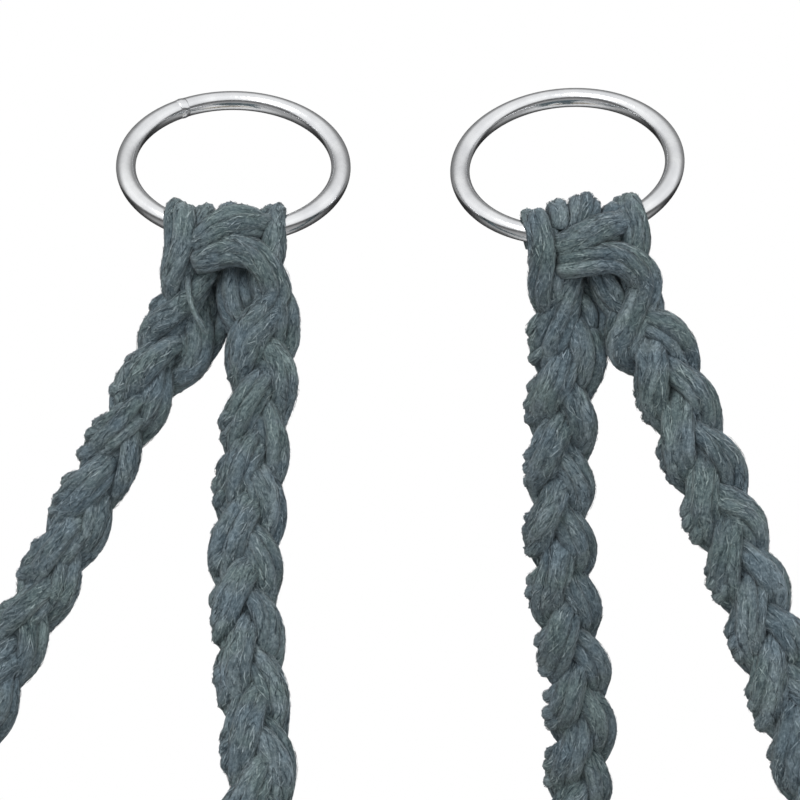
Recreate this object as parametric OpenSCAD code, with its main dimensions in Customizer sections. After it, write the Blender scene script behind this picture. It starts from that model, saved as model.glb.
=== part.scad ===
// Hanging macrame planter: an oval pot in a knotted cradle, on four braided legs and two steel rings.
// Millimetres. +Z is up, +X is right and -Y is the front.
// The origin is on the line through the bottoms of the two rings, midway between the knots.

/* [Rings] */
// Outside diameter of each steel ring
ring_od = 60; // [54:1:66]
// Diameter of the ring wire
ring_wire = 5; // [4:0.5:6]
// How far the left ring leans back from upright, in degrees
ring_left_lean = 47; // [40:1:55]
// How far the right ring leans back from upright, in degrees
ring_right_lean = 46; // [40:1:55]

/* [Ring knots] */
// Distance of the left knot from the middle
knot_left_x = 43; // [40:1:46]
// Distance of the right knot from the middle
knot_right_x = 46; // [43:1:49]
// How far the left knot is rolled, right side up, in degrees
knot_left_roll = -3; // [-6:1:6]
// How far the right knot is rolled, right side up, in degrees
knot_right_roll = 8; // [0:1:12]
// Width of each ring knot along the ring
knot_w = 31; // [30:0.5:32]
// Outside radius of the yarn that is wrapped round the ring
knot_r = 10; // [9.5:0.5:11]

/* [Braided legs] */
// Width of the flat braid
braid_w = 18.6; // [17:0.2:19]
// Thickness of the flat braid
braid_t = 10; // [9:0.5:11]
// Diameter of the barrel knot that ends each leg
leg_knot_d = 26; // [24:1:28]
// Height of the barrel knot that ends each leg
leg_knot_h = 24; // [20:1:26]

/* [Cradle] */
// Diameter of a cradle cord
cord_d = 11; // [9:0.5:11]
// Diameter of the knots that join neighbouring cradle cords
joint_knot_d = 25; // [23:1:26]
// Height of the knots that join neighbouring cradle cords
joint_knot_h = 22; // [18:1:24]
// Diameter of the gathering knot under the pot
gather_d = 50; // [48:1:54]
// Height of the gathering knot under the pot
gather_h = 36; // [30:1:44]

/* [Tassel] */
// Length of the tassel below the gathering knot
tassel_l = 165; // [120:5:200]
// Diameter of the tassel at its bottom end
tassel_d = 48; // [44:1:52]

/* [Pot] */
// Length of the oval pot at its rim
pot_l = 282; // [278:1:286]
// Width of the oval pot at its rim
pot_w = 124; // [121:1:127]
// Height of the pot
pot_h = 130; // [126:1:134]
// How far the pot's wall leans in over its height
pot_taper = 30; // [24:1:32]
// Thickness of the pot's wall and floor
pot_wall = 7; // [5:0.5:9]

/* [Hidden] */
$fn = 64;

yarn_colour = [0.34, 0.39, 0.41];
steel_colour = [0.80, 0.81, 0.83];
pot_colour = [0.86, 0.84, 0.80];

ring_r = (ring_od - ring_wire) / 2;   // radius of the ring wire's centre line
ring_gap = 0.3;                       // clearance between the wire and the knot's tunnel
hitch_drop = 14;                      // depth of the hitch below the ring wire's centre
leg_split_w = 15.4;                   // width of a braid where it is squeezed in the knot
leg_full_at = 2;                      // route point from which a leg has its full width

leg_knot_z = -250;                    // height of the middle of the leg knots
rim_z = -282;                         // height of the pot's rim
base_z = rim_z - pot_h;               // height of the pot's underside
joint_knot_z = -345;                  // height of the middle of the cradle's joining knots
gather_z = -438;                      // top of the gathering knot
tassel_z = gather_z - gather_h;       // top of the tassel
cord_gap = 0.6;                       // clearance between the cradle and the pot
cord_off = cord_d / 2 + cord_gap;     // distance of a cord's centre line from the pot's wall
cord_pair = cord_d / 2 + 0.1;         // half the distance between two cords that run side by side
sink = 3;                             // how far a cord's end runs into its knot

// Routes of the legs, from ring knot to leg knot: round numbers along the hanging braids
route_left = [[-51.4, 0, -10], [-54, 0, -18], [-60, 0, -31], [-72, 0, -53], [-86, 0, -83],
              [-104, 0, -121], [-120, 0, -160], [-136, 0, -204], [-149, 0, -241]];
route_front = [[-35.3, 0, -10], [-35, -1, -18], [-35, -3, -31], [-37, -10, -60], [-37, -18, -90],
               [-34, -30, -128], [-33, -42, -168], [-34, -56, -210], [-35, -66, -241]];
route_back = [[38, 0, -10], [39.5, 1, -18], [41, 3, -31], [40, 11, -60], [41, 19, -90],
              [45, 31, -128], [43, 43, -168], [38, 56, -210], [35, 66, -241]];
route_right = [[54.2, 0, -10], [57, 0, -18], [62.5, 0, -31], [72.5, 0, -53], [85, 0, -83],
               [98, 0, -121], [113, 0, -160], [132, 0, -204], [149, 0, -241]];

// Directions round the oval pot, as ellipse angles
at_right = 0;
at_back = 76;
at_left = 180;
at_front = 256;
at_back_right = 38;
at_back_left = 128;
at_front_left = 218;
at_front_right = 308;

function lerp(a, b, t) = a + (b - a) * t;
function unit(v) = v / norm(v);

// How far the pot's wall has leaned in at height z
function lean_in(z) = z > rim_z ? 0 : pot_taper * (rim_z - z) / pot_h;
function half_l(z) = pot_l / 2 - lean_in(z) * 1.3;
function half_w(z) = pot_w / 2 - lean_in(z) * 0.7;
function wall_normal(a, z) = unit([cos(a) / half_l(z), sin(a) / half_w(z), 0]);
// A point at a distance from the pot's outer wall, at ellipse angle a and height z
function beside_wall(a, z, off) =
    [half_l(z) * cos(a), half_w(z) * sin(a), z] + off * wall_normal(a, z);
// A horizontal unit vector along the wall
function along_wall(a, z) = let (n = wall_normal(a, z)) [-n[1], n[0], 0];

// The direction of a route at its point i
function heading(route, i) =
    unit(route[min(i + 1, len(route) - 1)] - route[max(i - 1, 0)]);
function section(centre, dir, ref, half_a, half_b, sides) =
    let (side = unit(cross(ref, dir)), up = cross(dir, side))
    [for (k = [0 : sides - 1]) let (q = 360 * k / sides) centre + half_a * cos(q) * side + half_b * sin(q) * up];

// A closed tube that follows a route, with half widths given at each point
module sweep(route, halves, ref, sides) {
    last = len(route) - 1;
    rings = [for (i = [0 : last]) section(route[i], heading(route, i), ref, halves[i][0], halves[i][1], sides)];
    skin = [for (i = [0 : last - 1], k = [0 : sides - 1])
        let (n = (k + 1) % sides)
        [i * sides + k, (i + 1) * sides + k, (i + 1) * sides + n, i * sides + n]];
    start = [[for (k = [0 : sides - 1]) k]];
    end = [[for (k = [sides - 1 : -1 : 0]) last * sides + k]];
    polyhedron([for (r = rings) each r], concat(skin, start, end));
}

// A steel ring that stands on the tilt axis and leans back from it
module steel_ring(x, roll, lean) {
    color(steel_colour)
        translate([x, 0, 0])
            rotate([0, -roll, 0])
                rotate([-lean, 0, 0])
                    translate([0, 0, ring_r])
                        rotate([90, 0, 0])
                            rotate_extrude()
                                translate([ring_r, 0])
                                    circle(d = ring_wire);
}

// The space that the curved wire needs as the ring tilts about the line along X
module ring_tunnel() {
    half = knot_w / 2 + 1;
    reach = [for (i = [-6 : 6]) let (x = half * i / 6)
        [ring_r - sqrt(pow(ring_r - ring_wire / 2, 2) - x * x) + ring_gap, x]];
    rotate([0, 90, 0])
        rotate_extrude()
            polygon(concat([[0, -half]], reach, [[0, half]]));
}

// A flat bar with round edges, centred on its middle and lying along X
module round_bar(length, height, thickness) {
    rotate([0, 90, 0])
        linear_extrude(length, center = true) {
            square([height - thickness, thickness], center = true);
            for (s = [-1, 1]) translate([s * (height - thickness) / 2, 0]) circle(d = thickness);
        }
}

// A cow hitch: two legs of one braid over the ring, with the bar across the front
module ring_knot(x, roll) {
    bar_w = knot_w - 9;
    bar_h = 14;
    bar_t = 8;
    color(yarn_colour)
        translate([x, 0, 0])
            rotate([0, -roll, 0])
                difference() {
                    union() {
                        rotate([0, 90, 0]) cylinder(h = knot_w, r = knot_r, center = true);
                        translate([0, -knot_r, -1.5]) round_bar(bar_w, bar_h, bar_t);
                        translate([0, 0, -hitch_drop / 2])
                            cube([knot_w, braid_t + 4, hitch_drop], center = true);
                    }
                    ring_tunnel();
                }
}

module leg(route) {
    halves = [for (i = [0 : len(route) - 1])
        [lerp(leg_split_w, braid_w, min(i / leg_full_at, 1)) / 2, braid_t / 2]];
    color(yarn_colour) sweep(route, halves, [0, 1, 0], 12);
}

// A barrel of wrapped yarn with a round-shouldered outline, standing on its middle
module barrel(d, h) {
    shoulder = h / 5;
    rotate_extrude()
        difference() {
            translate([0, -h / 2]) square([d / 2, h]);
            for (s = [-1, 1])
                translate([d / 2, s * h / 2]) rotate(45) square(shoulder, center = true);
        }
}

module leg_knot(route) {
    foot = route[len(route) - 1];
    color(yarn_colour)
        translate([foot[0], foot[1], leg_knot_z])
            barrel(leg_knot_d, leg_knot_h);
}

// Middle of a joining knot, far enough out to clear the wall that leans over it
function joint_knot_at(a) =
    beside_wall(a, joint_knot_z, joint_knot_d / 2 + cord_gap + joint_knot_h * pot_taper * 0.65 / pot_h);

// From a leg knot, over the rim and down the wall to a joining knot
module upper_cord(route, from, to) {
    turn = to > from ? 1 : -1;
    foot = route[len(route) - 1];
    knot_foot = [foot[0], foot[1], leg_knot_z - leg_knot_h / 2];
    top = knot_foot + turn * cord_pair * along_wall(from, rim_z);
    joint = joint_knot_at(to);
    joint_top = joint_knot_z + joint_knot_h / 2;
    foot_side = -turn * cord_pair * along_wall(to, joint_knot_z);
    wall_part = [for (t = [0.12 : 0.2 : 0.92])
        beside_wall(lerp(from, to, t), lerp(rim_z + 6, joint_top + 8, t), cord_off + 2)];
    points = concat(
        [top + [0, 0, sink]],
        [top - [0, 0, 2]],
        wall_part,
        [[joint[0], joint[1], joint_top + 2] + foot_side],
        [[joint[0], joint[1], joint_top - sink] + foot_side]);
    halves = [for (p = points) [cord_d / 2, cord_d / 2]];
    color(yarn_colour) sweep(points, halves, wall_normal((from + to) / 2, rim_z), 8);
}

module joint_knot(a) {
    color(yarn_colour)
        translate(joint_knot_at(a))
            barrel(joint_knot_d, joint_knot_h);
}

// A pair of cords side by side, from a joining knot down the wall and under the pot to the gathering knot,
// where the four pairs come in evenly round its throat
module lower_cords(a, throat_a) {
    side = along_wall(a, joint_knot_z);
    joint = joint_knot_at(a);
    joint_foot = joint_knot_z - joint_knot_h / 2;
    throat = [cos(throat_a), sin(throat_a), 0];
    throat_r = 17;
    edge = beside_wall(a, base_z - 9, -4);
    under = (unit([edge[0], edge[1], 0]) + throat) * 17 + [0, 0, base_z - 15];
    points = [
        [joint[0], joint[1], joint_foot + sink],
        [joint[0], joint[1], joint_foot - 3],
        beside_wall(a, base_z + 28, cord_off + 2),
        beside_wall(a, base_z + 6, cord_off + 1),
        beside_wall(a, base_z - 5, cord_off - 1),
        edge,
        under,
        throat * throat_r + [0, 0, gather_z + 5],
        throat * throat_r + [0, 0, gather_z - sink]];
    halves = [for (p = points) [cord_d / 2, cord_d]];
    color(yarn_colour) sweep(points, halves, side, 12);
}

module gathering_knot() {
    color(yarn_colour)
        translate([0, 0, gather_z - gather_h / 2])
            barrel(gather_d, gather_h);
}

module tassel() {
    neck_r = 20;
    color(yarn_colour)
        translate([0, 0, tassel_z])
            rotate_extrude()
                polygon([[0, 0], [neck_r, 0], [neck_r + 3, -tassel_l / 5], [tassel_d / 2 - 1, -tassel_l / 2],
                         [tassel_d / 2, -tassel_l], [0, -tassel_l]]);
}

// An oval pot, lofted through ellipses from the underside out, up, over the rim and down inside
module pot() {
    sides = 64;
    floor_z = base_z + pot_wall;
    rows = concat(
        [[base_z, -3], [base_z + 3, 0]],
        [[lerp(base_z, rim_z, 0.5), 0]],
        [[rim_z - 2, 0], [rim_z, -2], [rim_z, 2 - pot_wall], [rim_z - 2, -pot_wall]],
        [[lerp(floor_z, rim_z, 0.5), -pot_wall]],
        [[floor_z + 5, -pot_wall], [floor_z, -pot_wall - 5]]);
    last = len(rows) - 1;
    points = [for (r = rows, k = [0 : sides - 1]) beside_wall(360 * k / sides, r[0], r[1])];
    skin = [for (i = [0 : last - 1], k = [0 : sides - 1])
        let (n = (k + 1) % sides)
        [i * sides + k, (i + 1) * sides + k, (i + 1) * sides + n, i * sides + n]];
    underside = [[for (k = [0 : sides - 1]) k]];
    floor_face = [[for (k = [sides - 1 : -1 : 0]) last * sides + k]];
    color(pot_colour) polyhedron(points, concat(skin, underside, floor_face));
}

steel_ring(-knot_left_x, knot_left_roll, ring_left_lean);  // ring_left
steel_ring(knot_right_x, knot_right_roll, ring_right_lean);  // ring_right
ring_knot(-knot_left_x, knot_left_roll);  // ring_knot_left
ring_knot(knot_right_x, knot_right_roll);  // ring_knot_right
leg(route_left);  // leg_left
leg(route_front);  // leg_front
leg(route_back);  // leg_back
leg(route_right);  // leg_right
leg_knot(route_left);  // leg_knot_left
leg_knot(route_front);  // leg_knot_front
leg_knot(route_back);  // leg_knot_back
leg_knot(route_right);  // leg_knot_right
upper_cord(route_left, at_left, at_front_left);  // upper_cord_left_front
upper_cord(route_left, at_left, at_back_left);  // upper_cord_left_back
upper_cord(route_front, at_front, at_front_left);  // upper_cord_front_left
upper_cord(route_front, at_front, at_front_right);  // upper_cord_front_right
upper_cord(route_back, at_back, at_back_left);  // upper_cord_back_left
upper_cord(route_back, at_back, at_back_right);  // upper_cord_back_right
upper_cord(route_right, at_right, at_front_right - 360);  // upper_cord_right_front
upper_cord(route_right, at_right, at_back_right);  // upper_cord_right_back
joint_knot(at_front_left);  // joint_knot_front_left
joint_knot(at_front_right);  // joint_knot_front_right
joint_knot(at_back_left);  // joint_knot_back_left
joint_knot(at_back_right);  // joint_knot_back_right
lower_cords(at_front_left, 225);  // lower_cords_front_left
lower_cords(at_front_right, 315);  // lower_cords_front_right
lower_cords(at_back_left, 135);  // lower_cords_back_left
lower_cords(at_back_right, 45);  // lower_cords_back_right
gathering_knot();
tassel();
pot();
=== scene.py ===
"""Looks of the hanging macrame planter.

Braided legs hang from two steel rings and end in a knotted cradle, which holds an oval pot over a tassel.
Routes and sizes are in millimetres, as in the CAD model, and become metres where a mesh is made.
"""
import math

import bpy
import numpy as np
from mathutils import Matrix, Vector


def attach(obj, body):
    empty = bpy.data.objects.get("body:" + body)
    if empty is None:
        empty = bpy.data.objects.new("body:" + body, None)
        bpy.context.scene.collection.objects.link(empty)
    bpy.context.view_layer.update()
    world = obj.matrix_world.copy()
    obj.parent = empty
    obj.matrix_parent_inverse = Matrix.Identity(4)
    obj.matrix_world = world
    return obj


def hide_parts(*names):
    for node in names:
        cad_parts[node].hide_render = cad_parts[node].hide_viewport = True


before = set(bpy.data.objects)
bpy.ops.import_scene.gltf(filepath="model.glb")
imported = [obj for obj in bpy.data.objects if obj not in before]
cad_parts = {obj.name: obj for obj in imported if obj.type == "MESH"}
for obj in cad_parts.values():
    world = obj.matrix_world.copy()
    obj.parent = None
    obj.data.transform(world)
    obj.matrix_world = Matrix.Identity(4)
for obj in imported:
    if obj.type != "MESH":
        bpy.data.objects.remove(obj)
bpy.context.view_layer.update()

MM = 0.001

# Rings
RING_R = 27.5            # radius of the ring wire's centre line
WIRE_R = 2.5
TILT = (-73.0, 92.0)     # the rings' travel, in degrees from straight up towards the back
WELD_AT = -146.0         # place of the left ring's weld, in degrees round the ring from its knot
WELD_HALF = 2.6          # half the weld's length, in degrees round the ring

# Ring knots: x is the place, roll and the ring's backward lean are in degrees, crown is how much more the
# yarns stand off the top of the wire, and drop is how much lower the front bands lie
KNOTS = {
    "left": {"x": -43.0, "roll": -3.0, "lean": 47.0, "crown": 0.0, "drop": 0.0, "legs": ("left", "front")},
    "right": {"x": 46.0, "roll": 8.0, "lean": 46.0, "crown": 2.2, "drop": 2.6, "legs": ("back", "right")},
}

# Routes of the braided legs, from ring knot to leg knot, within 3 mm of the CAD model's
ROUTES = {
    "left": [(-51.4, 0, -10), (-52.8, 0, -18), (-58.4, 0, -31), (-70, 0, -53), (-85, 0, -83),
             (-104, 0, -121), (-120, 0, -160), (-136, 0, -204), (-149, 0, -241)],
    "front": [(-35.3, 0, -10), (-33.4, -1, -18), (-32.8, -3, -31), (-35.8, -10, -60), (-36.7, -18, -90),
              (-33, -30, -128), (-33, -42, -168), (-34, -56, -210), (-35, -66, -241)],
    "back": [(38, 0, -10), (40.6, 1, -18), (41.6, 3, -31), (40.8, 11, -60), (42.3, 19, -90),
             (47.4, 31, -128), (45, 43, -168), (38, 56, -210), (35, 66, -241)],
    "right": [(54.2, 0, -10), (58.4, 0, -18), (65.4, 0, -31), (74, 0, -53), (86, 0, -83),
              (99, 0, -121), (113, 0, -160), (132, 0, -204), (149, 0, -241)],
}

# Braid: three bundles of six yarns
BRAID_PERIOD = 49.0      # length in which a bundle comes back to its place
BRAID_HALF = 4.6         # how far a bundle swings to each side
BRAID_DEPTH = 2.7        # how far it swings to the front and back
BUNDLE_YARNS = 6
BUNDLE_R = 2.35          # radius at which the yarns of a bundle lie
YARN_R = 2.05
HITCH_SQUEEZE = 0.68     # how much thinner a bundle is in the ring knot
BUNDLE_TURN = 0.007      # turns of a bundle's yarns in a millimetre
STEP = 1.6               # length between a yarn's rings
GIRTH = 11.0 * MM        # length across which a yarn's streaks run once round it
LINE_GAP = 0.9           # gap between the rings' travel and a yarn's centre line, in a slice across the knot
SKIN_GAP = 0.2           # the same for a yarn's surface

# Loose fibres: how many in a millimetre of yarn, and the range of each measure
LEG_FUZZ, KNOT_FUZZ, CORD_FUZZ, TASSEL_FUZZ = 4.2, 2.0, 0.8, 0.5
FIBRE_HALF = (0.6, 1.5)          # half the length
FIBRE_WIDTH = (0.09, 0.20)       # half the width at the middle
FIBRE_LIFT = (0.02, 0.16)        # height of the middle over the yarn
LOOSE_SHARE = 0.10               # share of the fibres that have a loose end
LOOSE_LIFT = (0.1, 0.30)         # height of a loose end over the yarn

# Cradle
RIM_Z, POT_H = -282.0, 130.0
BASE_Z = RIM_Z - POT_H
POT_L, POT_W, POT_TAPER, POT_WALL = 282.0, 124.0, 30.0, 7.0
FILLET = 8.0             # radius between the pot's floor and wall, inside
LEG_KNOT_Z, LEG_KNOT_R, LEG_KNOT_H = -250.0, 13.0, 24.0
JOINT_Z, JOINT_R, JOINT_H = -345.0, 12.5, 22.0
GATHER_Z, GATHER_R, GATHER_H = -438.0, 25.0, 36.0
TASSEL_L, TASSEL_R, TASSEL_NECK_R = 165.0, 24.0, 20.0
TASSEL_ENDS = 116        # more than the legs' 72 yarns, so that the tassel looks full
CORD_R = 5.5
CORD_OFF = CORD_R + 0.6
CORD_PAIR = CORD_R + 0.1
PLY_R, PLY_LAY = 2.75, 34.0      # radius at which a cord's plies lie, and the length of one turn of them
STRAND_R, STRAND_LAY = 1.35, 26.0    # the same for a ply's three yarns
CORD_YARN_R = 1.6
SEEDS = {"upper_cords": 100, "lower_cords": 120, "leg_knots": 140, "gathering_knot": 150, "tassel": 160}

# Ellipse angles round the pot: each leg's foot, and each joining knot with its cords' place at the throat
FOOT = {"left": 180.0, "front": 256.0, "back": 76.0, "right": 0.0}
JOINTS = {"front_left": (218.0, 225.0), "front_right": (308.0, 315.0),
          "back_left": (128.0, 135.0), "back_right": (38.0, 45.0)}
UPPER_CORDS = [("left", "front_left", 218.0), ("left", "back_left", 128.0),
               ("front", "front_left", 218.0), ("front", "front_right", 308.0),
               ("back", "back_left", 128.0), ("back", "back_right", 38.0),
               ("right", "front_right", -52.0), ("right", "back_right", 38.0)]


# ---- curves

def unit(v):
    """Vectors brought to length one."""
    v = np.asarray(v, float)
    return v / np.maximum(np.linalg.norm(v, axis=-1, keepdims=True), 1e-9)


def smoothstep(x):
    """A soft step from 0 to 1 as x goes from 0 to 1."""
    x = np.clip(x, 0.0, 1.0)
    return x * x * (3 - 2 * x)


def bell(x, middle, width=9.0):
    """A soft bump of height 1 about the middle."""
    return np.exp(-((x - middle) / width) ** 2)


def spline(points, per=14):
    """Points on a smooth curve through the given rows, any number of columns wide."""
    p = np.asarray(points, float)
    p = np.vstack([2 * p[0] - p[1], p, 2 * p[-1] - p[-2]])
    out = []
    t = np.linspace(0, 1, per, endpoint=False)[:, None]
    for a, b, c, d in zip(p[:-3], p[1:-2], p[2:-1], p[3:]):
        out.append(0.5 * (2 * b + (c - a) * t + (2 * a - 5 * b + 4 * c - d) * t**2
                          + (3 * b - a - 3 * c + d) * t**3))
    out.append(p[-2][None])
    return np.vstack(out)


def resample(rows, step):
    """The same curve with evenly spaced rows; the first three columns are the place."""
    gaps = np.linalg.norm(np.diff(rows[:, :3], axis=0), axis=1)
    along = np.concatenate([[0], np.cumsum(gaps)])
    count = max(int(round(along[-1] / step)), 3) + 1
    at = np.linspace(0, along[-1], count)
    return np.stack([np.interp(at, along, rows[:, c]) for c in range(rows.shape[1])], axis=1)


def blur(rows, width):
    """Softens a curve's corners, with its ends kept."""
    reach = int(3 * width) + 1
    k = np.exp(-0.5 * (np.arange(-reach, reach + 1) / width) ** 2)
    k /= k.sum()
    head = 2 * rows[0] - rows[1:reach + 1][::-1]
    tail = 2 * rows[-1] - rows[-reach - 1:-1][::-1]
    padded = np.vstack([head, rows, tail])
    return np.stack([np.convolve(padded[:, c], k, "valid") for c in range(rows.shape[1])], axis=1)


def tangents(points):
    """Direction of a curve at each of its points."""
    return unit(np.gradient(points, axis=0))


def transport(points):
    """Tangent and two cross directions at each point, which don't spin about the curve."""
    t = tangents(points)
    n = np.empty_like(t)
    start = np.cross(t[0], (0.0, 1.0, 0.2))
    n[0] = unit(start)
    for i in range(1, len(t)):
        v = n[i - 1] - t[i] * np.dot(n[i - 1], t[i])
        n[i] = v / math.sqrt(float(np.dot(v, v)))
    return t, n, np.cross(t, n)


def wander(rng, count, feature, tracks=1):
    """Smooth random tracks between -1 and 1, whose bumps are about feature samples long."""
    knots = max(int(count / feature) + 3, 4)
    raw = rng.uniform(-1, 1, (knots, tracks))
    at = np.linspace(0, knots - 2.001, count) + rng.uniform(0, 0.9)
    i = np.minimum(at.astype(int), knots - 2)
    f = smoothstep(at - i)[:, None]
    return raw[i] * (1 - f) + raw[i + 1] * f


# ---- yarn

def yarn_tube(centre, radius, rng, sides=10, ridge=0.11, spin=0.012, out=None):
    """One soft yarn: a tube with long low ridges, which wind slowly round it."""
    n = len(centre)
    gaps = np.linalg.norm(np.diff(centre, axis=0), axis=1)
    along = np.concatenate([[0], np.cumsum(gaps)])
    t, a, b = transport(centre)
    angle = 2 * math.pi * (np.arange(sides)[None] / sides + spin * along[:, None])
    tracks = wander(rng, n, 3.5, sides)
    r = np.broadcast_to(np.asarray(radius, float), (n,))[:, None] * (1 + ridge * tracks)
    ring = (centre[:, None] + r[..., None] * (np.cos(angle)[..., None] * a[:, None]
                                              + np.sin(angle)[..., None] * b[:, None]))
    return {"rings": ring, "along": along, "centre": centre, "radius": r.mean(axis=1), "tangent": t,
            "out": a if out is None else out, "shift": rng.uniform(0, 4.0), "tone": rng.uniform(0.35, 0.65)}


def part_of(tube, keep):
    """The stretch of a tube whose rings are marked in keep."""
    at = np.nonzero(keep)[0]
    cut = slice(at[0], at[-1] + 1)
    rows = ("rings", "along", "centre", "radius", "tangent", "out")
    return {key: value[cut] if key in rows else value for key, value in tube.items()}


def fibre_strips(tube, rng, per_mm, fan=1.5):
    """Loose surface fibres of one yarn: narrow strips that lie along its outer side."""
    n = len(tube["centre"])
    length = tube["along"][-1] - tube["along"][0]
    count = int(length * per_mm)
    if n < 5 or count < 1:
        return np.zeros((0, 3, 2, 3))
    step = np.arange(3)
    half_length = rng.uniform(*FIBRE_HALF, count)[:, None] * (n - 1) / length
    at = rng.uniform(0, 1, count)[:, None] * (n - 1.01 - 2 * half_length) + half_length * step
    i = at.astype(int)
    f = (at - i)[..., None]
    centre, radius, t, out = [rows[i] * (1 - f) + rows[i + 1] * f for rows in
                              (tube["centre"], tube["radius"][:, None], tube["tangent"], tube["out"])]
    t = unit(t)
    out = unit(out - t * np.sum(t * out, -1, keepdims=True))
    side = np.cross(t, out)
    angle = (rng.uniform(-fan, fan, count)[:, None] + rng.normal(0, 0.24, count)[:, None] * step
             + rng.normal(0, 0.06, (count, 3)))[..., None]
    normal = np.cos(angle) * out + np.sin(angle) * side
    lift = rng.uniform(*FIBRE_LIFT, (count, 1)) * np.array([0.1, 1.0, 0.2]) + 0.03
    loose = rng.uniform(size=count) < LOOSE_SHARE
    lift[loose, 2] += rng.uniform(*LOOSE_LIFT, loose.sum())
    place = centre + (radius * 1.02 + lift[..., None]) * normal
    half = (rng.uniform(*FIBRE_WIDTH, count)[:, None] * np.array([0.4, 1.0, 0.3]))[..., None]
    across = np.cross(t, normal) * half
    return np.stack([place - across, place + across], axis=2)


def tube_arrays(tube, base):
    """Points, quads, UVs, tones and end faces of one tube."""
    ring = tube["rings"]
    n, sides = ring.shape[:2]
    i, k = np.meshgrid(np.arange(n - 1), np.arange(sides), indexing="ij")
    k2 = (k + 1) % sides
    quads = np.stack([i * sides + k, i * sides + k2, (i + 1) * sides + k2, (i + 1) * sides + k], -1)
    u0, u1 = k / sides * GIRTH, (k + 1) / sides * GIRTH
    v = tube["along"] * MM + tube["shift"]
    uv = np.stack([u0, v[i], u1, v[i], u1, v[i + 1], u0, v[i + 1]], -1).reshape(-1, 2)
    first = np.arange(sides) + base
    caps = [first[::-1], first + (n - 1) * sides]
    return ring.reshape(-1, 3), quads.reshape(-1, 4) + base, uv, np.full(n * sides, tube["tone"]), caps


def strip_arrays(strips, base, rng):
    """Points, quads, UVs and tones of many fibre strips."""
    count = len(strips)
    row = np.arange(2)[None, :, None] * 2
    corner = np.array([0, 1, 3, 2])[None, None]
    quads = np.arange(count)[:, None, None] * 6 + row + corner
    start = rng.uniform(0, 4.0, (count, 1, 1, 1))
    v = start + np.array([0.0, 1.6])[None, :, None, None] * MM
    box = np.array([[0, 0], [0.25, 0], [0.25, 1.6], [0, 1.6]])[None, None] * MM
    uv = np.broadcast_to(box, (count, 2, 4, 2)) + np.concatenate([0 * v + start, v], axis=3)
    tones = np.repeat(rng.uniform(0, 1, count), 6)
    return strips.reshape(-1, 3), quads.reshape(-1, 4) + base, uv.reshape(-1, 2), tones


def yarn_mesh(name, verts, quads, caps, uvs, tones):
    """A mesh of quads and end faces, with UVs along each yarn and a tone for each."""
    mesh = bpy.data.meshes.new(name)
    loops = np.concatenate([quads.ravel(), *caps])
    starts = np.concatenate([np.arange(len(quads)) * 4,
                             len(quads) * 4 + np.cumsum([0] + [len(c) for c in caps[:-1]])])
    totals = np.concatenate([np.full(len(quads), 4), [len(c) for c in caps]])
    mesh.vertices.add(len(verts))
    mesh.vertices.foreach_set("co", verts.ravel())
    mesh.loops.add(len(loops))
    mesh.loops.foreach_set("vertex_index", loops.astype(np.int32))
    mesh.polygons.add(len(starts))
    mesh.polygons.foreach_set("loop_start", starts.astype(np.int32))
    mesh.polygons.foreach_set("loop_total", totals.astype(np.int32))
    mesh.polygons.foreach_set("use_smooth", np.ones(len(starts), bool))
    layer = mesh.uv_layers.new(name="yarn")
    cap_uvs = np.zeros((len(loops) - len(quads) * 4, 2))
    layer.data.foreach_set("uv", np.vstack([uvs, cap_uvs]).ravel())
    tone = mesh.attributes.new("tone", "FLOAT", "POINT")
    tone.data.foreach_set("value", tones)
    mesh.update(calc_edges=True)
    mesh.validate()
    return mesh


def linked(name, mesh, material):
    """The mesh as an object in the scene, with its material and slot."""
    obj = bpy.data.objects.new(name, mesh)
    bpy.context.scene.collection.objects.link(obj)
    mesh.materials.append(material)
    return obj


def yarn_piece(name, tubes, material, fuzz, seed=5, clear=None):
    """One object of many yarn tubes and their loose fibres.

    A function clear(points, gap) may move the points out of a space.
    """
    rng = np.random.default_rng(seed)
    arrays, caps, base = [], [], 0
    for tube in tubes:
        *made, ends = tube_arrays(tube, base)
        arrays.append(made)
        caps += ends
        base += len(made[0])
    strips = np.vstack([fibre_strips(tube, rng, fuzz) for tube in tubes])
    arrays.append(strip_arrays(strips, base, rng))
    verts, quads, uvs, tones = [np.concatenate(column) for column in zip(*arrays)]
    if clear is not None:
        verts = clear(verts, SKIN_GAP)
    return linked(name, yarn_mesh(name, verts * MM, quads, caps, uvs, tones), material)


def yarns_of_bundle(rows, rng, turn, count=BUNDLE_YARNS, reach=BUNDLE_R, yarn_r=YARN_R, sides=10, clear=None):
    """The yarns of one bundle, round its centre line; the fourth column of rows says how full it is."""
    centre, full = rows[:, :3], rows[:, 3]
    _, a, b = transport(centre)
    along = np.arange(len(rows)) * STEP
    sway = wander(rng, len(rows), 9.0, 2 * count)
    tubes = []
    for k in range(count):
        angle = 2 * math.pi * (k / count + turn * along) + 0.5 * sway[:, k]
        r = reach * full * (1 + 0.20 * sway[:, count + k])
        out = np.cos(angle)[:, None] * a + np.sin(angle)[:, None] * b
        thick = yarn_r * (0.45 + 0.55 * full) * (1 + 0.08 * wander(rng, len(rows), 7.0)[:, 0])
        line = centre + r[:, None] * out
        if clear is not None:
            line = clear(line, LINE_GAP)
        tubes.append(yarn_tube(line, thick, rng, sides=sides, out=out))
    return tubes


# ---- ring knots and braided legs

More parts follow.
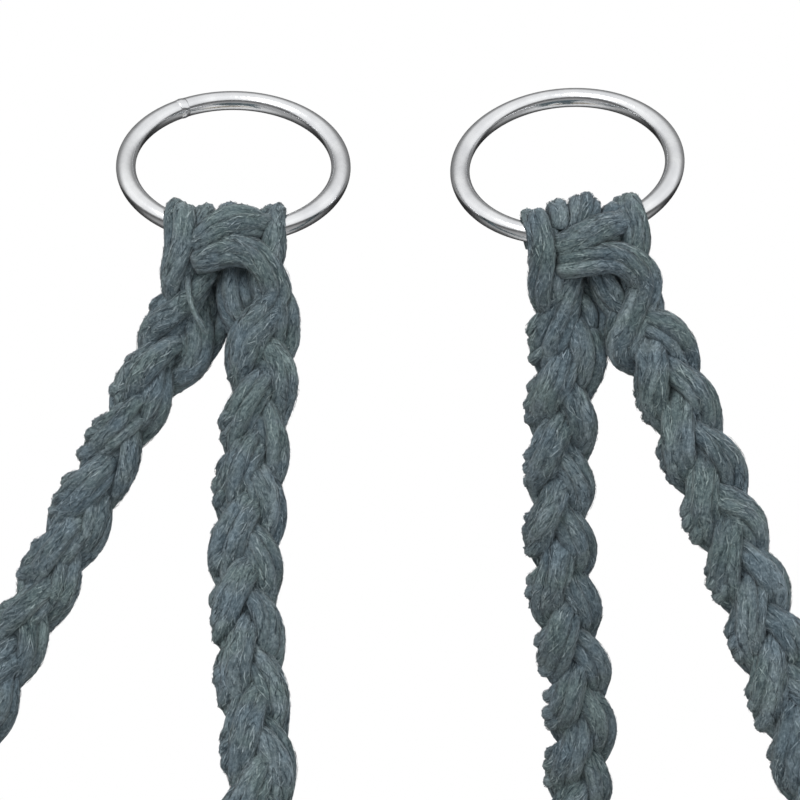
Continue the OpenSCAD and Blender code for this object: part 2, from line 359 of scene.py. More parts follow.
# Each leg's braid: its phase at the ring knot and its turn about itself in degrees, the side that its first
# bundle starts from, how wide the bundles swing, how much wider just below the knot, and its seed
LEG_LOOK = {
    "left": {"phase": 34.0, "turn": -16.0, "side": 1, "swing": 0.76, "flare": 0.70, "seed": 1},
    "front": {"phase": -2.0, "turn": -18.0, "side": -1, "swing": 0.93, "flare": 0.20, "seed": 2},
    "back": {"phase": 26.0, "turn": -12.0, "side": 1, "swing": 0.99, "flare": 0.15, "seed": 3},
    "right": {"phase": 49.0, "turn": -20.0, "side": -1, "swing": 1.18, "flare": 0.10, "seed": 4},
}
KNOB_SHIFT = 0.3         # how far the bundles stand to the right of a leg's middle
KNOB_GAP = 3.7           # length down a leg between the yarns that turn round its left edge
SPREAD = 5.6             # distance between bundles where a leg leaves its knot
JOIN = (9.0, 15.0)       # lengths down a leg at which the hitch meets the braid
FOOT_L = 14.0            # length above a leg's foot in which its bundles draw in


def leg_frame(leg):
    """A leg's middle line, length down it, the directions across it to the side and front, and its phase."""
    look = LEG_LOOK[leg]
    line = resample(spline(ROUTES[leg]), STEP)
    s = np.linspace(0, 1, len(line)) * (len(line) - 1) * STEP
    t = tangents(line)
    side = unit(np.cross(t, (0.0, 1.0, 0.0)))
    front = np.cross(t, side)
    drift = wander(np.random.default_rng(look["seed"]), len(line), 40.0, 2)
    turn = np.radians(look["turn"] + 8 * drift[:, 0])[:, None]
    side, front = (np.cos(turn) * side + np.sin(turn) * front,
                   -np.sin(turn) * side + np.cos(turn) * front)
    phase = 2 * math.pi * s / BRAID_PERIOD + math.radians(look["phase"]) + 0.25 * drift[:, 1]
    return line, s, side, front, phase


def leg_bundle(leg, j):
    """Centre line of bundle j of one leg, from its ring knot down; columns x, y, z, fullness, length down."""
    look = LEG_LOOK[leg]
    line, s, side, front, phase = leg_frame(leg)
    phase = phase + math.radians(120 * (j - 1) * look["side"])
    out = smoothstep((s + 3) / 12.0)
    foot = smoothstep((s - (s[-1] - FOOT_L)) / 10)
    grip = 1 - 0.35 * foot
    flare = 1 + look["flare"] * bell(s, 17)
    swing = BRAID_HALF * look["swing"] * flare * np.sin(phase) * grip
    x = (1 - out) * SPREAD * (j - 1) * look["side"] + out * swing
    x = x + 1.7 * look["side"] * bell(s, 13) + KNOB_SHIFT * out
    z = out * BRAID_DEPTH * np.sin(2 * phase) * grip
    place = line + x[:, None] * side + z[:, None] * front
    full = HITCH_SQUEEZE + (1 - HITCH_SQUEEZE) * smoothstep((s + 2) / 10.0)
    knob = np.clip(-np.sin(phase), 0, 1) ** 2
    swell = 0.95 + 0.12 * np.sin(phase) ** 2 + 0.08 * knob + 0.12 * bell(s, 12)
    full = full * swell * (1 - 0.25 * foot)
    return np.column_stack([place, full, s])


def leg_knobs(leg, rng):
    """Yarns that turn tightly round the left edge of a leg, three at each of the braid's turns there."""
    line, s, side, front, phase = leg_frame(leg)
    widen = LEG_LOOK[leg]["swing"] ** 0.5
    edge = np.interp(np.arange(-0.25, phase[-1] / (2 * math.pi), 1 / 3) * 2 * math.pi, phase, s)
    tubes = []
    for middle in edge[(edge > 12) & (edge < s[-1] - 18)]:
        for k in (-1, 0, 1):
            at = middle + KNOB_GAP * k + rng.uniform(-0.6, 0.6)
            i = int(round(at / STEP))
            down = unit(line[i + 1] - line[i - 1])
            reach = rng.uniform(-0.7, 0.5) - 0.7 * abs(k)
            path = [(-2.6, 0.4, -3.0), (-5.6, 0.8, -1.6), (-7.6 - reach, -0.5, 0.2), (-6.6, -3.0, 1.4),
                    (-2.6, -4.4, 2.2)]
            points = [line[i] + x * widen * side[i] + z * front[i] + d * down for x, z, d in path]
            route = resample(spline(points), 0.9)
            out = unit(route - line[i] - np.outer((route - line[i]) @ down, down))
            tubes.append(yarn_tube(route, 1.95 + rng.uniform(-0.2, 0.2), rng, sides=9, out=out))
    return tubes


def ring_sag(x):
    """How far a ring's wire stands from its lowest point, at a distance x along the knot."""
    return RING_R - np.sqrt(RING_R**2 - np.minimum(np.abs(x), 20.0) ** 2)


def placed(knot, x, y, z):
    """A knot's own coordinates, rolled with it and moved to its place."""
    k = KNOTS[knot]
    roll = math.radians(k["roll"])
    return k["x"] + x * math.cos(roll) - z * math.sin(roll), y, x * math.sin(roll) + z * math.cos(roll)


def clear_of_wire(points, knot, gap):
    """Points moved out of the space that a ring's wire passes through as the ring tilts.

    Each point moves in its own slice across the knot, and the wire's slant there isn't allowed for. So near
    the knot's ends, where the wire slants most, yarns still reach about 0.3 mm into it.
    """
    k = KNOTS[knot]
    roll = math.radians(k["roll"])
    first, last = np.radians(TILT)
    across, y, up = points[..., 0] - k["x"], points[..., 1], points[..., 2]
    x = across * math.cos(roll) + up * math.sin(roll)
    z = up * math.cos(roll) - across * math.sin(roll)
    sag = ring_sag(x)
    angle = np.arctan2(y, z)
    nearest = np.where(angle < (first + last) / 2 - math.pi, last, np.clip(angle, first, last))
    wire_y, wire_z = sag * np.sin(nearest), sag * np.cos(nearest)
    away_y, away_z = y - wire_y, z - wire_z
    distance = np.maximum(np.hypot(away_y, away_z), 1e-6)
    inside = (nearest == angle) & (np.hypot(y, z) < sag)
    toward_y = np.where(inside, np.sin(angle), away_y / distance)
    toward_z = np.where(inside, np.cos(angle), away_z / distance)
    reach = np.where(inside, WIRE_R + gap, np.maximum(distance, WIRE_R + gap))
    y, z = wire_y + reach * toward_y, wire_z + reach * toward_z
    return np.stack(placed(knot, x, y, z), -1)


def over_ring(x, lean, wrap, way):
    """Four points over the ring's wire at x: way is -1 from back to front, or 1 from front to back."""
    sag = ring_sag(x)
    oy, oz = sag * math.sin(math.radians(lean)), sag * math.cos(math.radians(lean))
    points = [(x, wrap + oy, oz - 0.5), (x, 0.72 * wrap + oy, 0.72 * wrap + oz), (x, oy, wrap + oz),
              (x, -0.74 * wrap + 0.7 * oy, 0.7 * wrap + 0.9 * oz)]
    return points if way < 0 else points[::-1]


def hitch_route(lean, crown, drop):
    """The three bundles' ways through the hitch: points, how full each is, and the piece that it joins.

    The piece is -1 for the left leg, 0 for the hitch and 1 for the right leg.
    The first is the column on the left, the bar behind and the column on the right. The second is the
    upper band in front, and the third the lower band, which bends down into the right leg.
    """
    column = [((-11.6, -4.4, -12.5), 1.0, -1), ((-10.4, -7.2, -7.5), 1.0, -1),
              ((-10.0, -7.9, -1.5), 0.98, -1), ((-10.6, -7.2, 3.0), 0.92, -1)]
    column += [(p, 0.86, -1) for p in over_ring(-11.0, lean, WIRE_R + 0.3, 1)]
    column += [(p, 0.80, 0) for p in ((-9.0, 7.0, -4.0), (0.0, 8.0, -5.0), (8.5, 7.2, -4.0))]
    column += [(p, 0.78, 1) for p in over_ring(11.6, lean, WIRE_R + 0.6 + 0.4 * crown, -1)]
    column += [((12.4, -6.8, 0.5), 0.84, 1), ((12.2, -6.2, -5.0), 0.86, 1), ((10.0, -3.8, -10.5), 0.95, 1)]
    upper = [((-5.4, 3.2, -10.5), 0.86, -1), ((-5.8, 5.4, -5.0), 0.80, -1)]
    upper += [(p, 0.86, -1) for p in over_ring(-4.9, lean, WIRE_R + 1.1 + crown, -1)]
    upper += [((-5.6, -6.4, 1.6), 0.62, -1), ((-7.4, -6.6, -1.6), 0.60, 0), ((-5.2, -8.6, -2.8), 0.80, 0),
              ((-1.2, -10.0, 0.2 - 0.8 * drop), 0.94, 0), ((3.0, -9.9, 2.2 - drop), 0.96, 0),
              ((6.4, -8.9, 2.4 - drop), 0.94, 0), ((8.6, -6.0, 2.4 - 0.7 * drop), 0.86, 0),
              ((8.4, -2.6, 3.8), 0.72, 1)]
    upper += [(p, 0.66, 1) for p in over_ring(7.6, lean, WIRE_R + 0.5, 1)[2:]]
    upper += [((5.6, 4.2, -5.0), 0.80, 1), ((3.4, -2.6, -11.0), 0.95, 1)]
    lower = [((-5.0, -2.6, -11.0), 0.92, -1), ((-2.0, 3.8, -5.5), 0.80, -1)]
    lower += [(p, 0.88, -1) for p in over_ring(1.4, lean, WIRE_R + 2.2 + crown, -1)]
    lower += [((-1.0, -5.8, 0.6), 0.55, -1), ((-6.6, -5.6, -5.2), 0.55, 0), ((-8.2, -6.2, -7.6), 0.62, 0),
              ((-4.6, -9.0, -7.0 - 0.3 * drop), 0.84, 1), ((0.4, -10.4, -4.6 - drop), 0.96, 1),
              ((5.0, -10.4, -4.2 - 1.1 * drop), 0.98, 1), ((9.2, -9.4, -6.2 - 0.9 * drop), 0.98, 1),
              ((12.2, -7.2, -10.4 - 0.4 * drop), 0.98, 1), ((13.2, -4.6, -15.5), 1.0, 1)]
    return column, upper, lower


# Which bundle of the right leg each one of the left leg becomes in the hitch
HITCH_ORDER = (1, 2, 0)


def braid_rows(knot, j, leg_a, leg_b):
    """Bundle j from the foot of one leg, through the hitch, to the foot of the other.

    The columns are x, y, z, fullness and the piece, which goes from -1 through 0 to 1.
    """
    k = KNOTS[knot]
    a, b = leg_bundle(leg_a, j), leg_bundle(leg_b, HITCH_ORDER[j])
    route = hitch_route(k["lean"], k["crown"], k["drop"])[j]
    x, y, z = np.array([p for p, _, _ in route], float).T
    hitch = np.column_stack([*placed(knot, x, y, z),
                             [full for _, full, _ in route], [part for _, _, part in route]])

    def ends(leg, part):
        rows = np.column_stack([leg[:, :4], np.full(len(leg), part)])
        return [rows[np.searchsorted(leg[:, 4], s)] for s in JOIN], rows[leg[:, 4] > JOIN[1] + 1]

    near_a, far_a = ends(a, -1.0)
    near_b, far_b = ends(b, 1.0)
    if j == 2:      # the lower band reaches its leg below the first of the joining points
        near_b = near_b[1:]
    middle = spline(np.vstack([near_a[::-1], hitch, near_b]))
    return blur(resample(np.vstack([far_a[::-1], middle, far_b]), STEP), 0.9)


# Two yarns that pass behind the fork of each knot and join its left leg, from the knot's middle
FORK = {"left": [(-0.6, 4.0, -6), (-1.4, 2.4, -13), (-1.6, 1.4, -20), (-4.2, 2.0, -27), (-9.5, 2.0, -34)],
        "right": [(1.6, 4.2, -6), (2.4, 3.0, -12), (4.0, 2.2, -19), (3.6, 3.0, -26), (0.0, 3.6, -34)]}


def fork_yarns(knot, rng):
    """The two yarns behind a knot's fork."""
    tubes = []
    for k in (-1, 1):
        line = np.array(FORK[knot], float) + (KNOTS[knot]["x"] + 1.7 * k, -0.8 * k, 0)
        tubes.append(yarn_tube(resample(spline(line), STEP), 2.1, rng))
    return tubes


def stray_end(knot, rng):
    """A thin yarn end that hangs in the fork of a knot."""
    x = KNOTS[knot]["x"]
    points = [(x - 8.6, -6.0, -10), (x - 8.4, -8.6, -14), (x - 7.0, -9.2, -19.5), (x - 3.9, -8.2, -25.2)]
    line = resample(spline(points), STEP / 2)
    return yarn_tube(line, np.linspace(0.85, 0.6, len(line)), rng, sides=8)


def make_braid(knot, material, seed):
    """The continuous braid of one ring knot: its two legs and the hitch between them."""
    rng = np.random.default_rng(seed)
    leg_a, leg_b = KNOTS[knot]["legs"]
    tubes = {leg_a: [], leg_b: [], "hitch": []}

    def clear(points, gap):
        return clear_of_wire(points, knot, gap)

    for j in range(3):
        rows = braid_rows(knot, j, leg_a, leg_b)
        part = rows[:, 4]       # the stretches overlap a little, so that no gap shows
        for tube in yarns_of_bundle(rows, rng, BUNDLE_TURN * (1, -1, 1)[j], clear=clear):
            tubes[leg_a].append(part_of(tube, part < -0.5))
            tubes["hitch"].append(part_of(tube, np.abs(part) <= 0.55))
            tubes[leg_b].append(part_of(tube, part > 0.5))
    for leg in (leg_a, leg_b):
        tubes[leg] += leg_knobs(leg, rng)
    tubes[leg_a] += fork_yarns(knot, rng)
    if knot == "left":
        tubes["hitch"].append(stray_end(knot, rng))
    for i, (part, made) in enumerate(tubes.items()):
        node = f"ring_knot_{knot}" if part == "hitch" else f"leg_{part}"
        piece = yarn_piece(f"yarn_{node}", made, material, LEG_FUZZ, seed + i, clear)
        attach(piece, "sling")
        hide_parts(node)


# ---- cradle

def lean_in(z):
    """How far the pot's wall has leaned in at height z."""
    return 0.0 if z > RIM_Z else POT_TAPER * (RIM_Z - z) / POT_H


def half_l(z):
    """Half the pot's length at height z."""
    return POT_L / 2 - lean_in(z) * 1.3


def half_w(z):
    """Half the pot's width at height z."""
    return POT_W / 2 - lean_in(z) * 0.7


def wall_normal(a, z):
    """The level direction out of the pot's wall, at ellipse angle a and height z."""
    r = math.radians(a)
    return unit([math.cos(r) / half_l(z), math.sin(r) / half_w(z), 0.0])


def beside_wall(a, z, off):
    """A point at a distance from the pot's outer wall, at ellipse angle a and height z."""
    r = math.radians(a)
    return np.array([half_l(z) * math.cos(r), half_w(z) * math.sin(r), z]) + off * wall_normal(a, z)


def along_wall(a, z):
    """The level direction along the pot's wall."""
    n = wall_normal(a, z)
    return np.array([-n[1], n[0], 0.0])


def joint_at(a):
    """The middle of the joining knot at ellipse angle a."""
    return beside_wall(a, JOINT_Z, JOINT_R + 0.6 + JOINT_H * POT_TAPER * 0.65 / POT_H)


def rope(points, rng, step=2.2):
    """A cradle cord: three twisted plies of three yarns."""
    rows = resample(blur(resample(spline(points), step), 1.2), step)
    _, a, b = transport(rows)
    along = np.arange(len(rows)) * step
    tubes = []
    for p in range(3):
        angle = 2 * math.pi * (p / 3 + along / PLY_LAY)
        ply = rows + PLY_R * (np.cos(angle)[:, None] * a + np.sin(angle)[:, None] * b)
        _, c, d = transport(ply)
        sway = wander(rng, len(rows), 8.0, 3)
        for k in range(3):
            inner = 2 * math.pi * (k / 3 - along / STRAND_LAY) + 0.4 * sway[:, k]
            line = ply + STRAND_R * (np.cos(inner)[:, None] * c + np.sin(inner)[:, None] * d)
            tubes.append(yarn_tube(line, CORD_YARN_R, rng, sides=8))
    return tubes


def upper_cord(leg, joint_a):
    """The way of a cord from a leg knot, along the pot, to the joining knot at ellipse angle joint_a."""
    from_a = FOOT[leg]
    turn = 1 if joint_a > from_a else -1
    foot = np.array(ROUTES[leg][-1], float)
    foot[2] = LEG_KNOT_Z - LEG_KNOT_H / 2
    top = foot + turn * CORD_PAIR * along_wall(from_a, RIM_Z)
    joint = joint_at(joint_a)
    joint_top = JOINT_Z + JOINT_H / 2
    side = -turn * CORD_PAIR * along_wall(joint_a, JOINT_Z)
    first_z, last_z = RIM_Z + 6, joint_top + 8
    wall = [beside_wall(from_a + (joint_a - from_a) * t, first_z + (last_z - first_z) * t, CORD_OFF + 2)
            for t in (0.12, 0.32, 0.52, 0.72, 0.92)]
    end = np.array([joint[0], joint[1], joint_top]) + side
    return [top + (0, 0, 9), top - (0, 0, 2), *wall, end + (0, 0, 2), end - (0, 0, 8)]


def lower_cord(a, throat_a, s):
    """One of the two cords, s = -1 or 1, that run side by side from a joining knot to the gathering knot."""
    side = along_wall(a, JOINT_Z) * s * CORD_PAIR
    joint = joint_at(a)
    foot = JOINT_Z - JOINT_H / 2
    throat = np.array([math.cos(math.radians(throat_a)), math.sin(math.radians(throat_a)), 0.0])
    across = np.array([-throat[1], throat[0], 0.0]) * s * CORD_PAIR
    edge = beside_wall(a, BASE_Z - 9, -4)
    under = (unit([edge[0], edge[1], 0]) + throat) * 17 + (0, 0, BASE_Z - 15)
    under_side = unit([-under[1], under[0], 0]) * s * CORD_PAIR
    return [
        np.array([joint[0], joint[1], foot + 8]) + side, np.array([joint[0], joint[1], foot - 3]) + side,
        beside_wall(a, BASE_Z + 28, CORD_OFF + 2) + side, beside_wall(a, BASE_Z + 6, CORD_OFF + 1) + side,
        beside_wall(a, BASE_Z - 5, CORD_OFF - 1) + side, edge + side, under + under_side,
        throat * 17 + (0, 0, GATHER_Z + 5) + across, throat * 16 + (0, 0, GATHER_Z - 12) + across,
    ]


def wrap_coil(centre, radius, height, rng, yarn_r=1.7, bulge=1.1, shoulder=4.2):
    """A yarn wound round and round and pulled tight; its first and last turns close in on the cords."""
    turns = height / (2 * yarn_r * 0.90)
    count = int(turns * 2 * math.pi * radius / 2.0)
    t = np.linspace(0, 1, count)
    angle = 2 * math.pi * turns * t + rng.uniform(0, 6)
    from_end = np.minimum(t, 1 - t) * turns
    close = 1 - smoothstep(from_end / 1.7)
    wobble = wander(rng, count, 14.0, 2)
    r = radius - yarn_r + bulge * (np.sin(math.pi * t) - 0.7) - shoulder * close + 0.22 * wobble[:, 0]
    z = centre[2] + (height / 2 - yarn_r) * (1 - 2 * t) * (1 - 0.06 * close) + 0.30 * wobble[:, 1]
    line = np.column_stack([centre[0] + r * np.cos(angle), centre[1] + r * np.sin(angle), z])
    thick = yarn_r * (1.04 + 0.08 * wander(rng, count, 10.0)[:, 0])
    out = np.column_stack([np.cos(angle), np.sin(angle), 0 * angle])
    return [yarn_tube(line, thick, rng, sides=9, out=out)]


def overhand(a, rng):
    """A tight overhand knot of eight yarns, standing off the wall at ellipse angle a."""
    centre = joint_at(a)
    out = wall_normal(a, JOINT_Z)
    side = along_wall(a, JOINT_Z)
    t = np.linspace(0, 2 * math.pi, 90)
    x = 2.9 * (np.sin(t) + 2 * np.sin(2 * t))
    z = 2.6 * (np.cos(t) - 2 * np.cos(2 * t))
    y = 5.0 * np.sin(3 * t)
    line = centre + x[:, None] * side + y[:, None] * out + z[:, None] * np.array([0, 0, 1.0])
    rows = resample(line, STEP)
    rows = np.column_stack([rows, np.ones(len(rows))])
    return yarns_of_bundle(rows, rng, 0.015, count=8, reach=3.05, yarn_r=1.75, sides=8)


def make_upper_cords(material):
    """The cords from the leg knots to the joining knots, each named for its leg and the side it turns to."""
    for i, (leg, joint, joint_a) in enumerate(UPPER_CORDS):
        rng = np.random.default_rng(SEEDS["upper_cords"] + i)
        front_or_back, left_or_right = joint.split("_")
        node = f"upper_cord_{leg}_{front_or_back if leg in ('left', 'right') else left_or_right}"
        cord = rope(upper_cord(leg, joint_a), rng)
        piece = yarn_piece(f"yarn_{node}", cord, material, CORD_FUZZ)
        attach(piece, "sling")
        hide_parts(node)


def make_lower_cords(material):
    """The joining knots, and the pairs of cords that run from them under the pot."""
    for i, (joint, (a, throat_a)) in enumerate(JOINTS.items()):
        rng = np.random.default_rng(SEEDS["lower_cords"] + i)
        cords = rope(lower_cord(a, throat_a, -1), rng) + rope(lower_cord(a, throat_a, 1), rng)
        for node, tubes, slot in ((f"lower_cords_{joint}", cords, "braid_yarn"),
                                  (f"joint_knot_{joint}", overhand(a, rng), "wrap_yarn")):
            piece = yarn_piece(f"yarn_{node}", tubes, material, CORD_FUZZ)
            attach(piece, "sling")
            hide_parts(node)


def make_wound_knots(material):
    """The barrel knots that end the legs, and the gathering knot under the pot."""
    for i, (leg, route) in enumerate(ROUTES.items()):
        rng = np.random.default_rng(SEEDS["leg_knots"] + i)
        centre = (route[-1][0], route[-1][1], LEG_KNOT_Z)
        coil = wrap_coil(centre, LEG_KNOT_R, LEG_KNOT_H, rng)
        piece = yarn_piece(f"yarn_leg_knot_{leg}", coil, material, KNOT_FUZZ)
        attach(piece, "sling")
        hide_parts(f"leg_knot_{leg}")
    rng = np.random.default_rng(SEEDS["gathering_knot"])
    coil = wrap_coil((0, 0, GATHER_Z - GATHER_H / 2), GATHER_R, GATHER_H, rng)
    piece = yarn_piece("yarn_gathering_knot", coil, material, KNOT_FUZZ)
    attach(piece, "sling")
    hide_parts("gathering_knot")


def make_tassel(material):
    """The cut yarn ends, hanging straight and spreading a little."""
    rng = np.random.default_rng(SEEDS["tassel"])
    top = GATHER_Z - GATHER_H
    golden = math.pi * (3 - math.sqrt(5))
    tubes = []
    for i in range(TASSEL_ENDS):
        r, angle = math.sqrt((i + 0.5) / TASSEL_ENDS), i * golden
        length = TASSEL_L - rng.uniform(0, 10)
        t = np.linspace(0, 1, 48)
        spread = TASSEL_NECK_R - 2.4 + (TASSEL_R - TASSEL_NECK_R) * smoothstep(t * 1.6)
        sway = wander(rng, len(t), 12.0, 2) * (3.0 * t[:, None])
        x = r * spread * np.cos(angle) + sway[:, 0]
        y = r * spread * np.sin(angle) + sway[:, 1]
        z = top + 10 - (length + 10) * t
        fray = 1 + 0.18 * smoothstep((t - 0.93) / 0.07)
        line = np.column_stack([x, y, z])
        tubes.append(yarn_tube(line, CORD_YARN_R * fray, rng, sides=8, ridge=0.15, spin=0.03))
    piece = yarn_piece("yarn_tassel", tubes, material, TASSEL_FUZZ)
    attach(piece, "sling")
    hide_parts("tassel")


# ---- pot

def loft(name, rows, material):
    """A closed mesh through rings of points, one array per ring."""
    sides = len(rows[0])
    verts = np.vstack(rows) * MM
    faces = []
    for i in range(0, (len(rows) - 1) * sides, sides):
        for k in range(sides):
            after = (k + 1) % sides
            faces.append((i + k, i + after, i + sides + after, i + sides + k))
    faces += [tuple(range(sides))[::-1], tuple(range((len(rows) - 1) * sides, len(rows) * sides))]
    mesh = bpy.data.meshes.new(name)
    mesh.from_pydata(verts.tolist(), [], faces)
    mesh.polygons.foreach_set("use_smooth", np.ones(len(faces), bool))
    mesh.update()
    return linked(name, mesh, material)


def pot_profile():
    """Height and distance from the outer wall, up the outside, over the rim and down to the floor inside."""
    floor_z = BASE_Z + POT_WALL
    profile = [(BASE_Z, -6.0), (BASE_Z + 0.3, -4.2), (BASE_Z + 1.2, -2.0), (BASE_Z + 3, -0.5)]
    profile += [(z, 0.16 * math.sin(z * 1.1)) for z in np.arange(BASE_Z + 5, RIM_Z - 4, 1.5)]
    half = POT_WALL / 2
    profile += [(RIM_Z - half + half * math.sin(q), -half + half * math.cos(q))
                for q in np.radians(np.arange(0, 181, 15))]
    profile += [(z, -POT_WALL + 0.12 * math.sin(z * 0.9))
                for z in np.arange(RIM_Z - 6, floor_z + FILLET + 1, -2.0)]
    profile += [(floor_z + FILLET * (1 - math.sin(q)), -POT_WALL - FILLET * (1 - math.cos(q)))
                for q in np.radians(np.arange(0, 91, 15))]
    return profile


def make_pot(material):
    """Oval stoneware pot: foot, wall with faint throwing lines, rounded rim and a filleted inside."""
    sides = 160
    around = np.arange(sides) * 360 / sides
    rows = [np.array([beside_wall(a, z, off) for a in around]) for z, off in pot_profile()]
    wide, narrow = (0.7, 0.7, 1), (0.3, 0.3, 1)
    rows = [rows[0] * narrow, rows[0] * wide, *rows, rows[-1] * wide, rows[-1] * narrow]
    pot = loft("stoneware_pot", rows, material)
    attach(pot, "pot")
    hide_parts("pot")


# ---- rings

def ring_point(knot, around, r_wire, q):
    """A point on a ring's wire: around is the angle from the knot, q the angle round the wire."""
    lean = math.radians(KNOTS[knot]["lean"])
    d = RING_R + r_wire * math.cos(q)
    x, up, back = d * math.sin(around), RING_R - d * math.cos(around), r_wire * math.sin(q)
    y = up * math.sin(lean) + back * math.cos(lean)
    z = up * math.cos(lean) - back * math.sin(lean)
    return placed(knot, x, y, z)


def make_weld(knot, around, material):
    """The slightly swollen butt weld of a ring."""
    rows = []
    for t in np.linspace(-1, 1, 9):
        r = WIRE_R + 0.16 * math.cos(t * math.pi / 2) ** 2 + 0.005
        at = math.radians(around + WELD_HALF * t)
        rows.append(np.array([ring_point(knot, at, r, 2 * math.pi * k / 32) for k in range(32)]))
    weld = loft(f"ring_{knot}_weld", rows, material)
    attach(weld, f"ring_{knot}")


def make_rings(material):
    """The CAD rings, shown with the steel's look, and the left one's weld."""
    for knot in KNOTS:
        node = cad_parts[f"ring_{knot}"]
        node.data.materials.clear()
        node.data.materials.append(material)
        node.data.polygons.foreach_set("use_smooth", np.ones(len(node.data.polygons), bool))
    make_weld("left", WELD_AT, material)


# ---- materials

def fill_ramp(ramp, stops):
    """Gives a colour ramp its stops, each a place and a colour."""
    while len(ramp.elements) < len(stops):
        ramp.elements.new(0.5)
    for element, (at, colour) in zip(ramp.elements, stops):
        element.position = at
        element.color = (*colour, 1)


class Nodes:
    """Short ways to add and link shader nodes."""

    def __init__(self, name):
        self.material = bpy.data.materials.new(name)
        self.material.use_nodes = True
        self.tree = self.material.node_tree
        self.shader = self.tree.nodes["Principled BSDF"]

    def add(self, kind, **settings):
        node = self.tree.nodes.new(kind)
        for key, value in settings.items():
            setattr(node, key, value)
        return node

    def link(self, out, into):
        self.tree.links.new(out, into)

    def noise(self, vector, scale, detail=2.0, rough=0.5):
        node = self.add("ShaderNodeTexNoise")
        node.inputs["Scale"].default_value = scale
        node.inputs["Detail"].default_value = detail
        node.inputs["Roughness"].default_value = rough
        self.link(vector, node.inputs["Vector"])
        return node.outputs["Fac"]

    def scaled(self, vector, scale):
        node = self.add("ShaderNodeMapping")
        node.inputs["Scale"].default_value = scale
        self.link(vector, node.inputs["Vector"])
        return node.outputs["Vector"]

    def math(self, operation, a, b):
        node = self.add("ShaderNodeMath", operation=operation)
        for socket, value in zip(node.inputs, (a, b)):
            if isinstance(value, (int, float)):
                socket.default_value = value
            else:
                self.link(value, socket)
        return node.outputs[0]

    def ramp(self, factor, stops):
        node = self.add("ShaderNodeValToRGB")
        fill_ramp(node.color_ramp, stops)
        self.link(factor, node.inputs["Fac"])
        return node.outputs["Color"]

    def mix(self, factor, a, b, blend="MIX"):
        node = self.add("ShaderNodeMix", data_type="RGBA", blend_type=blend)
        for name, value in (("Factor", factor), ("A", a), ("B", b)):
            socket = node.inputs[name]
            if isinstance(value, (int, float)):
                socket.default_value = value
            elif isinstance(value, tuple):
                socket.default_value = (*value, 1)
            else:
                self.link(value, socket)
        return node.outputs["Result"]

    def bump(self, height, strength, distance, normal=None):
        node = self.add("ShaderNodeBump")
        node.inputs["Strength"].default_value = strength
        node.inputs["Distance"].default_value = distance
        self.link(height, node.inputs["Height"])
        if normal is not None:
            self.link(normal, node.inputs["Normal"])
        return node.outputs["Normal"]


def yarn_material():
    """Soft slate yarn: fine streaks of fibre along each yarn, with bluish and greenish patches."""
    m = Nodes("slate_yarn")
    uv = m.add("ShaderNodeUVMap", uv_map="yarn").outputs["UV"]
    place = m.add("ShaderNodeTexCoord").outputs["Object"]
    tone = m.add("ShaderNodeAttribute", attribute_name="tone").outputs["Fac"]
    fine = m.noise(m.scaled(uv, (2600.0, 600.0, 1.0)), 1.0, 4.0, 0.70)
    broad = m.noise(m.scaled(uv, (800.0, 110.0, 1.0)), 1.0, 2.0, 0.5)
    grain = m.noise(place, 1300.0, 3.0, 0.7)
    streak = m.math("ADD", m.math("MULTIPLY", fine, 0.42), m.math("MULTIPLY", broad, 0.22))
    streak = m.math("ADD", streak, m.math("MULTIPLY", grain, 0.36))
    streak = m.math("ADD", streak, m.math("MULTIPLY", m.math("SUBTRACT", tone, 0.5), 0.27))
    colour = m.ramp(streak, [(0.33, (0.025, 0.038, 0.047)), (0.45, (0.084, 0.117, 0.132)),
                             (0.55, (0.160, 0.206, 0.225)), (0.68, (0.330, 0.395, 0.420))])
    patch = m.noise(place, 110.0, 2.0)
    hue = m.ramp(patch, [(0.36, (0.95, 0.99, 1.05)), (0.50, (1.0, 1.0, 1.0)), (0.64, (1.00, 1.035, 0.97))])
    m.link(m.mix(1.0, colour, hue, "MULTIPLY"), m.shader.inputs["Base Color"])
    m.link(m.bump(streak, 1.0, 0.0008), m.shader.inputs["Normal"])
    m.shader.inputs["Roughness"].default_value = 0.92
    m.shader.inputs["Specular IOR Level"].default_value = 0.25
    m.shader.inputs["Sheen Weight"].default_value = 0.12
    m.shader.inputs["Sheen Roughness"].default_value = 0.5
    return m.material


def steel_material():
    """Bright nickel plate, with a faint mottle and fine rubbing marks."""
    m = Nodes("bright_nickel")
    place = m.add("ShaderNodeTexCoord").outputs["Object"]
    mottle = m.noise(place, 140.0, 3.0)
    marks = m.noise(m.scaled(place, (900.0, 900.0, 120.0)), 1.0, 3.0, 0.6)
    m.link(m.ramp(mottle, [(0.3, (0.66, 0.67, 0.69)), (0.7, (0.80, 0.81, 0.82))]),
           m.shader.inputs["Base Color"])
    m.link(m.ramp(marks, [(0.35, (0.10,) * 3), (0.75, (0.24,) * 3)]), m.shader.inputs["Roughness"])
    m.link(m.bump(marks, 0.12, 0.0002), m.shader.inputs["Normal"])
    m.shader.inputs["Metallic"].default_value = 1.0
    return m.material


